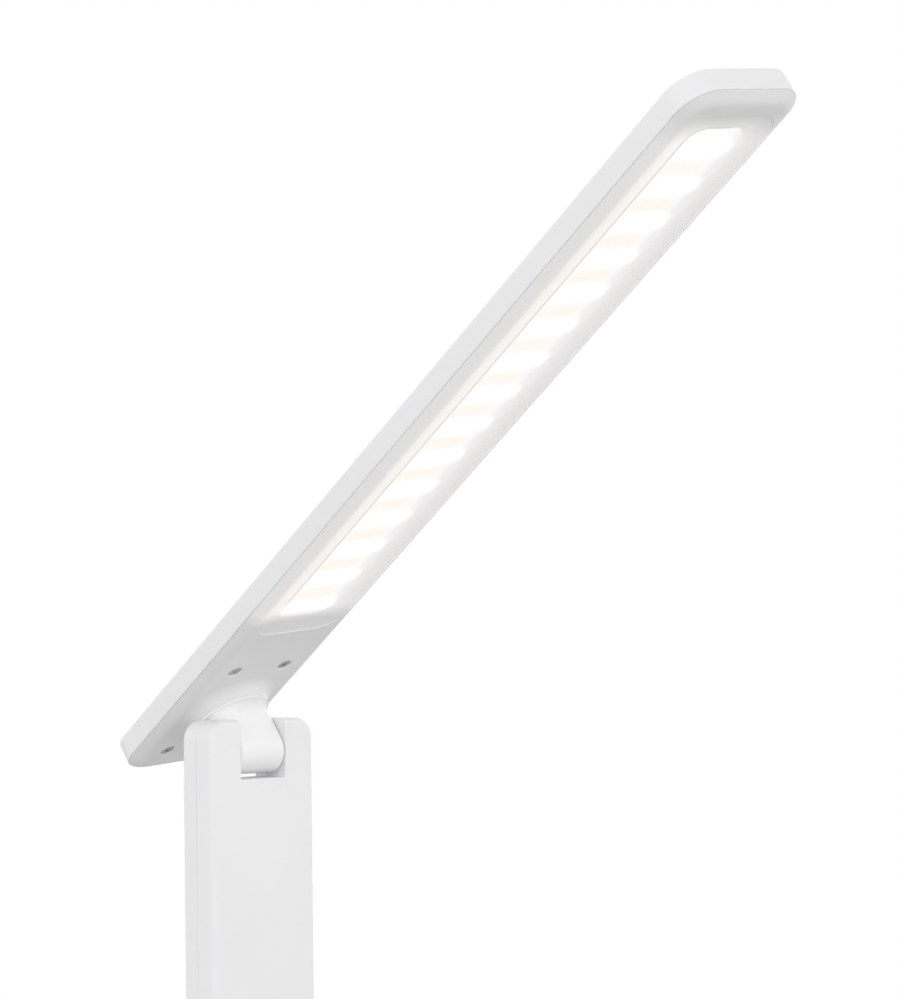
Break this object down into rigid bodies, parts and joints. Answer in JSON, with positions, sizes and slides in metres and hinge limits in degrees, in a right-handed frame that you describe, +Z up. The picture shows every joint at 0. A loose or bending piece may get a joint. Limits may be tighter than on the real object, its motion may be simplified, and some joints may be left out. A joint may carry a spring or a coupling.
{
  "type": "folding led desk lamp",
  "caption": "White folding desk lamp: flat light bar on a tilting, swivelling knuckle, notched flat arm, weighted base with touch strip and rear power socket.",
  "frame": {"origin": "on the table, under the middle of the base's sole pad", "axes": "+Z up along the upright arm, +X to the lamp's right seen from the front, +Y to its back; the head reaches towards -Y"},
  "size_m": [0.18, 0.2919, 0.5664],
  "materials": {
    "white_shell": "fine satin moulded plastic",
    "white_moulding": "satin moulded plastic",
    "touch_gloss": "polished inlay with plain printed marks",
    "grey_plate": "textured plastic",
    "sole_rubber": "soft matt rubber",
    "plain_steel": "zinc plated sheet",
    "bright_steel": "nickel plated",
    "fibre_washer": "dark acetal",
    "circuit_board": "green solder mask",
    "white_board": "white solder mask",
    "cool_led": "clear lens over a cool white die",
    "warm_led": "phosphor lens over a warm white die",
    "spreader_aluminium": "mill finish",
    "diffuser_sheet": "frosted, lit from behind",
    "socket_black": "black moulded socket",
    "wire_sleeve": "grey sleeve"
  },
  "bodies": {
    "base": {"base_top_cover": "white_shell", "base_bottom_plate": "grey_plate", "sole_pad": "sole_rubber", "counterweight": "plain_steel", "weight_screws": "bright_steel", "base_screws": "bright_steel", "driver_board": "circuit_board", "sensor_board": "circuit_board", "touch_panel": "touch_gloss", "power_inlet": "socket_black", "hinge_stem": "white_shell", "stem_clamp_plate": "plain_steel", "stem_screws": "bright_steel", "stem_wire": "wire_sleeve"},
    "arm": {"arm_front_shell": "white_shell", "arm_rear_shell": "white_shell", "arm_spine": "plain_steel", "spine_screws": "bright_steel", "arm_screws": "bright_steel", "arm_wire": "wire_sleeve", "fold_shaft": "bright_steel", "fold_friction_washers": "fibre_washer", "fold_spring_washer": "bright_steel", "fold_nut": "bright_steel", "tilt_shaft": "bright_steel", "tilt_friction_washers": "fibre_washer", "tilt_spring_washer": "bright_steel", "tilt_nut": "bright_steel"},
    "knuckle": {"knuckle": "white_moulding", "swivel_stud": "bright_steel", "swivel_spring_washer": "bright_steel", "swivel_nut": "bright_steel"},
    "head": {"swivel_glide_ring": "fibre_washer", "swivel_bracket": "plain_steel", "head_shell": "white_shell", "head_bezel": "white_moulding", "head_screws": "bright_steel", "diffuser": "diffuser_sheet", "led_board": "white_board", "cool_leds": "cool_led", "warm_leds": "warm_led", "heat_spreader": "spreader_aluminium", "board_screws": "bright_steel", "head_wire": "wire_sleeve"}
  },
  "joints": [
    {"name": "arm_fold", "type": "hinge", "parent": "base", "child": "arm", "pos_m": [0, 0.036, 0.049], "axis": [1, 0, 0], "range_deg": [-35, 90]},
    {"name": "head_tilt", "type": "hinge", "parent": "arm", "child": "knuckle", "pos_m": [0, 0.036, 0.379], "axis": [1, 0, 0], "range_deg": [-27, 123]},
    {"name": "head_swivel", "type": "hinge", "parent": "knuckle", "child": "head", "pos_m": [0, 0.0464, 0.39502], "axis": [0, 0.5446, 0.8387], "range_deg": [-80, 100]}
  ]
}
